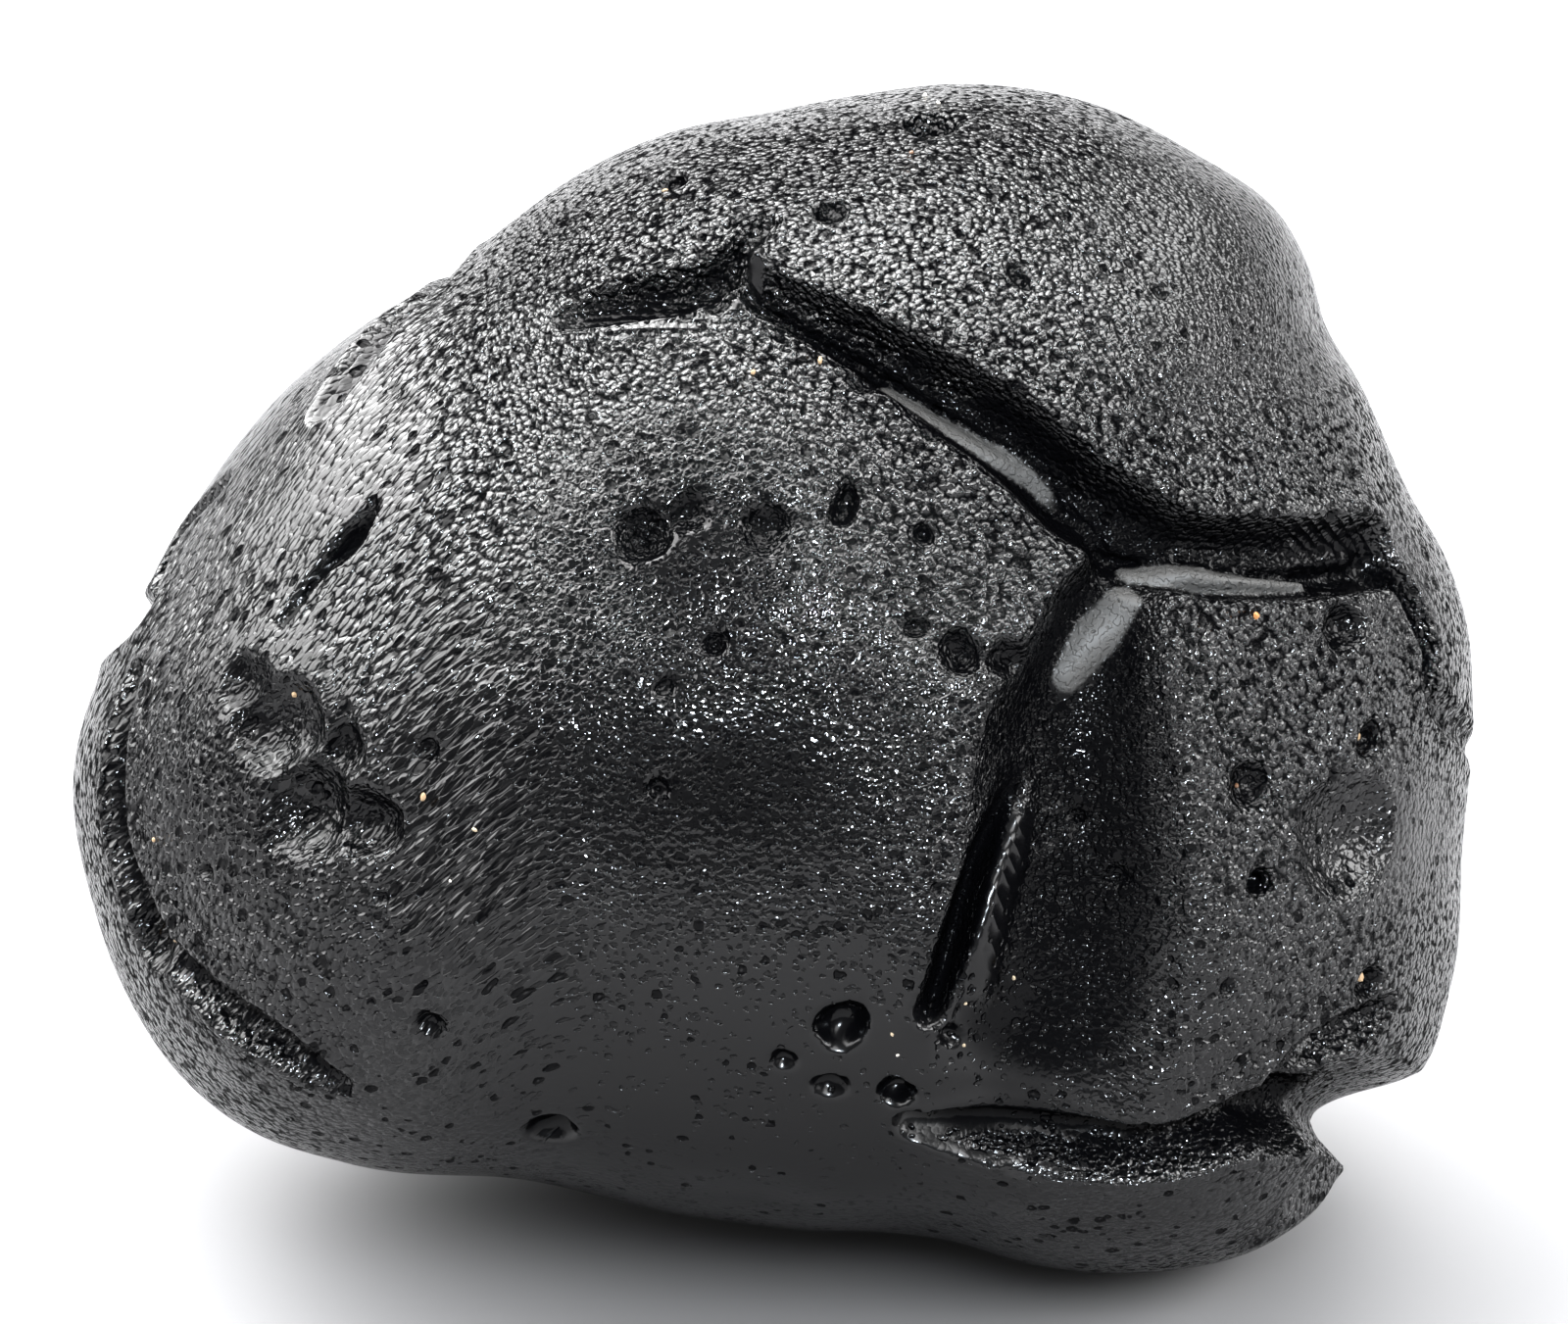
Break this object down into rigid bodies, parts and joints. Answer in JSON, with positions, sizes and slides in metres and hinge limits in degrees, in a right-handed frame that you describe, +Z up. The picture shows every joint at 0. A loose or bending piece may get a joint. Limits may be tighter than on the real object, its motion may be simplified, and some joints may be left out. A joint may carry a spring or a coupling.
{
  "type": "tektite",
  "caption": "Natural black glass tektite: a rounded, pitted lump cut by deep U-shaped grooves, resting on a small flat on its underside.",
  "frame": {"origin": "centre of the bounding box at its base, on the surface that the stone lies on", "axes": "+X along the stone's longest extent, to the right of the face with the grooves; that face looks along -Y and leans back; +Z up"},
  "size_m": [0.052, 0.0404, 0.0428],
  "materials": {
    "tektite_glass": "glossy, opaque black, finely pitted",
    "sand_grains": "dull tan grains of sand and soil caught in the pits"
  },
  "bodies": {
    "root": {"tektite": "tektite_glass"}
  },
  "joints": []
}
